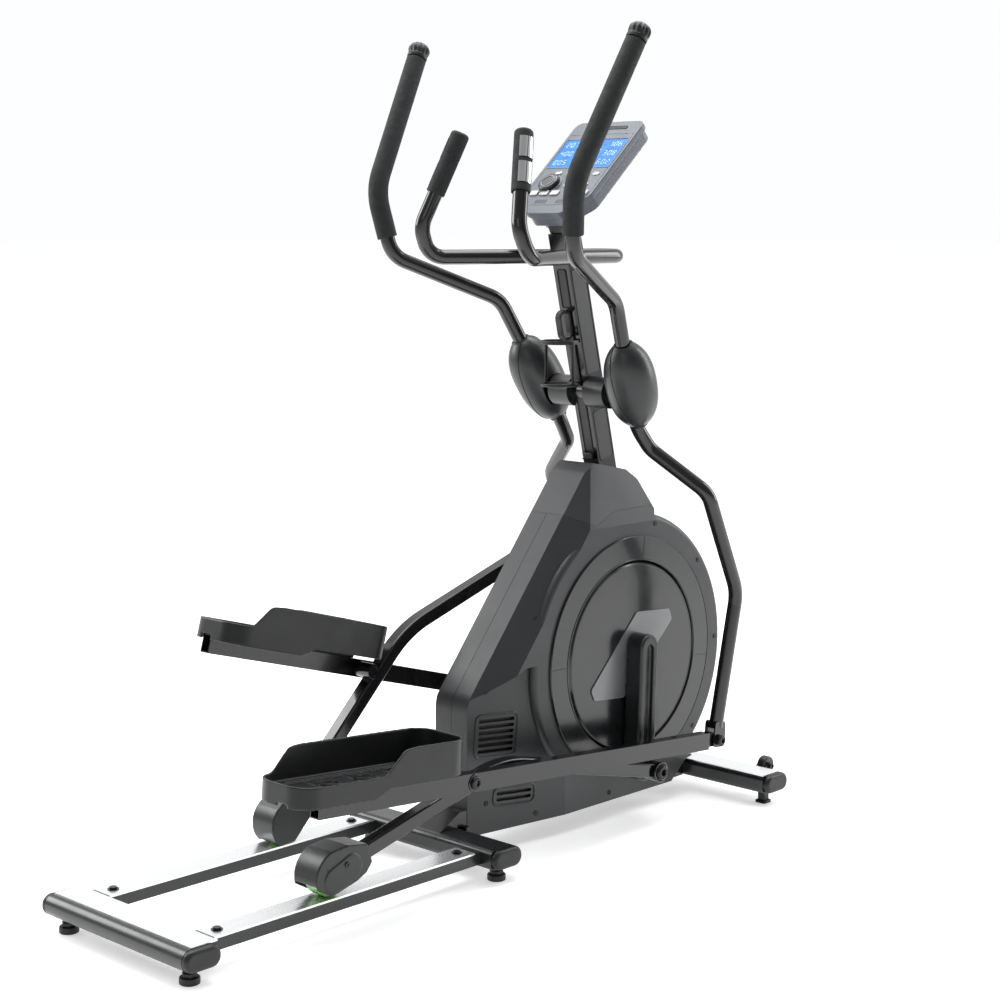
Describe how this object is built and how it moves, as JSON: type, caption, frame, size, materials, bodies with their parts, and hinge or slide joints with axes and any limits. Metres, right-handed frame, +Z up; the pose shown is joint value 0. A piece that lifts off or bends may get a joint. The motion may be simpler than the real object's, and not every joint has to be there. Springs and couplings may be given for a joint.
{
  "type": "elliptical trainer",
  "caption": "Elliptical cross trainer: pedals on roller-guided arms and a crank, linked to swinging hand levers, with a console on a mast over a rear-drive housing.",
  "frame": {"origin": "centre of the machine's box at floor level", "axes": "+X forward towards the console end, +Y to the user's left, +Z up from the floor"},
  "size_m": [1.72, 0.6538, 1.7187],
  "materials": {
    "frame_paint": "gloss",
    "crossbar_paint": "gloss",
    "bright_plate": "satin",
    "track_metal": "brushed",
    "housing_plastic": "textured",
    "cap_plastic": "textured",
    "gloss_trim": "gloss",
    "silver_trim": "satin",
    "dark_plastic": "textured",
    "end_cap_plastic": "satin",
    "pedal_plastic": "textured",
    "foam": "foam",
    "sensor_metal": "polished",
    "console_plastic": "satin",
    "lens": "gloss",
    "key_plastic": "satin",
    "roller_poly": "translucent",
    "steel": "machined",
    "cast": "machined",
    "belt_rubber": "matte",
    "wheel_plastic": "satin"
  },
  "bodies": {
    "frame": {"base_frame": "frame_paint", "rear_crossbar": "crossbar_paint", "middle_crossbar": "crossbar_paint", "front_crossbar": "crossbar_paint", "crossbar_plates": "bright_plate", "rails": "crossbar_paint", "tracks": "track_metal", "end_caps": "end_cap_plastic", "fixed_feet": "end_cap_plastic", "fasteners": "steel", "mast": "frame_paint", "pivot_shaft": "dark_plastic", "housing_cap": "cap_plastic", "housing_spine": "housing_plastic", "housing_left": "housing_plastic", "housing_right": "housing_plastic", "housing_rings": "gloss_trim", "bearings": "steel", "drive_belt": "belt_rubber", "flywheel_axle": "steel", "brake_bracket": "steel", "tension_motor": "dark_plastic", "bottle_cage": "end_cap_plastic", "fixed_handlebar": "frame_paint", "fixed_grips": "foam", "pulse_sensors": "sensor_metal", "console_bracket": "console_plastic", "console_back": "console_plastic", "console_front": "console_plastic", "console_lens": "lens"},
    "crank": {"crank_axle": "steel", "drive_pulley": "dark_plastic", "crank_arms": "dark_plastic", "crank_discs": "gloss_trim", "disc_plates": "silver_trim"},
    "flywheel": {"flywheel": "cast"},
    "roller_carrier_right": {"roller_axle_right": "steel"},
    "roller_wheel_right": {"roller_wheel_right": "roller_poly"},
    "roller_arm_right": {"roller_arm_right": "frame_paint", "roller_hood_right": "housing_plastic"},
    "swing_right": {"swing_arm_right": "frame_paint", "swing_cover_right": "housing_plastic", "hand_grip_right": "foam", "grip_knob_right": "end_cap_plastic"},
    "pedal_right": {"pedal_bar_right": "frame_paint", "pedal_right": "pedal_plastic"},
    "transport_wheel_right": {"transport_wheel_right": "wheel_plastic"},
    "roller_carrier_left": {"roller_axle_left": "steel"},
    "roller_wheel_left": {"roller_wheel_left": "roller_poly"},
    "roller_arm_left": {"roller_arm_left": "frame_paint", "roller_hood_left": "housing_plastic"},
    "swing_left": {"swing_arm_left": "frame_paint", "swing_cover_left": "housing_plastic", "hand_grip_left": "foam", "grip_knob_left": "end_cap_plastic"},
    "pedal_left": {"pedal_bar_left": "frame_paint", "pedal_left": "pedal_plastic"},
    "transport_wheel_left": {"transport_wheel_left": "wheel_plastic"},
    "console_dial": {"console_dial": "gloss_trim"},
    "start_key": {"start_key": "key_plastic"}
  },
  "joints": [
    {"name": "crank_turn", "type": "hinge", "parent": "frame", "child": "crank", "pos_m": [0.493, 0, 0.364], "axis": [0, 1, 0], "range_deg": [0, 90]},
    {"name": "flywheel_spin", "type": "hinge", "parent": "frame", "child": "flywheel", "pos_m": [0.186, 0, 0.232], "axis": [0, 1, 0], "range_deg": [0, 614]},
    {"name": "roller_slide_right", "type": "slide", "parent": "frame", "child": "roller_carrier_right", "axis": [1, 0, 0], "range_m": [-0.2035, 0]},
    {"name": "roller_spin_right", "type": "hinge", "parent": "roller_carrier_right", "child": "roller_wheel_right", "pos_m": [-0.48064, -0.158, 0.1113], "axis": [0, 1, 0], "range_deg": [-283.9, 0]},
    {"name": "roller_arm_tilt_right", "type": "hinge", "parent": "roller_carrier_right", "child": "roller_arm_right", "pos_m": [-0.48064, -0.158, 0.1113], "axis": [0, 1, 0], "range_deg": [-15.45, 0]},
    {"name": "swing_arm_tilt_right", "type": "hinge", "parent": "frame", "child": "swing_right", "pos_m": [0.424, -0.115, 0.957], "axis": [0, 1, 0], "range_deg": [0, 18.6]},
    {"name": "pedal_bar_tilt_right", "type": "hinge", "parent": "swing_right", "child": "pedal_right", "pos_m": [0.651, -0.198, 0.164], "axis": [0, 1, 0], "range_deg": [-9.85, 0]},
    {"name": "transport_spin_right", "type": "hinge", "parent": "frame", "child": "transport_wheel_right", "pos_m": [0.838, -0.205, 0.067], "axis": [0, 1, 0], "continuous": true},
    {"name": "roller_slide_left", "type": "slide", "parent": "frame", "child": "roller_carrier_left", "axis": [1, 0, 0], "range_m": [0, 0.131]},
    {"name": "roller_spin_left", "type": "hinge", "parent": "roller_carrier_left", "child": "roller_wheel_left", "pos_m": [-0.32338, 0.158, 0.1113], "axis": [0, 1, 0], "range_deg": [0, 182.5]},
    {"name": "roller_arm_tilt_left", "type": "hinge", "parent": "roller_carrier_left", "child": "roller_arm_left", "pos_m": [-0.32338, 0.158, 0.1113], "axis": [0, 1, 0], "range_deg": [0, 16.6]},
    {"name": "swing_arm_tilt_left", "type": "hinge", "parent": "frame", "child": "swing_left", "pos_m": [0.424, 0.115, 0.957], "axis": [0, 1, 0], "range_deg": [-17.95, 0]},
    {"name": "pedal_bar_tilt_left", "type": "hinge", "parent": "swing_left", "child": "pedal_left", "pos_m": [0.67166, 0.198, 0.17021], "axis": [0, 1, 0], "range_deg": [0, 3.65]},
    {"name": "transport_spin_left", "type": "hinge", "parent": "frame", "child": "transport_wheel_left", "pos_m": [0.838, 0.205, 0.067], "axis": [0, 1, 0], "continuous": true},
    {"name": "dial_turn", "type": "hinge", "parent": "frame", "child": "console_dial", "pos_m": [0.34937, 0.04, 1.40939], "axis": [-0.6652, 0, 0.7466], "continuous": true},
    {"name": "start_key_press", "type": "slide", "parent": "frame", "child": "start_key", "axis": [-0.6652, 0, 0.7466], "range_m": [-0.0015, 0], "stiffness_N_per_m": 400, "springref_m": 0.0015}
  ],
  "couplings": [
    {"joint": "flywheel_spin", "follows": "crank_turn", "ratio": 6.8182},
    {"joint": "roller_slide_right", "follows": "crank_turn", "m_per_rad": -0.12932},
    {"joint": "roller_spin_right", "follows": "crank_turn", "ratio": -3.1542},
    {"joint": "roller_arm_tilt_right", "follows": "crank_turn", "ratio": -0.1714},
    {"joint": "swing_arm_tilt_right", "follows": "crank_turn", "ratio": 0.20666},
    {"joint": "pedal_bar_tilt_right", "follows": "crank_turn", "ratio": -0.10921},
    {"joint": "roller_slide_left", "follows": "crank_turn", "m_per_rad": 0.083138},
    {"joint": "roller_spin_left", "follows": "crank_turn", "ratio": 2.0278},
    {"joint": "roller_arm_tilt_left", "follows": "crank_turn", "ratio": 0.1844},
    {"joint": "swing_arm_tilt_left", "follows": "crank_turn", "ratio": -0.19904},
    {"joint": "pedal_bar_tilt_left", "follows": "crank_turn", "ratio": 0.040056}
  ]
}
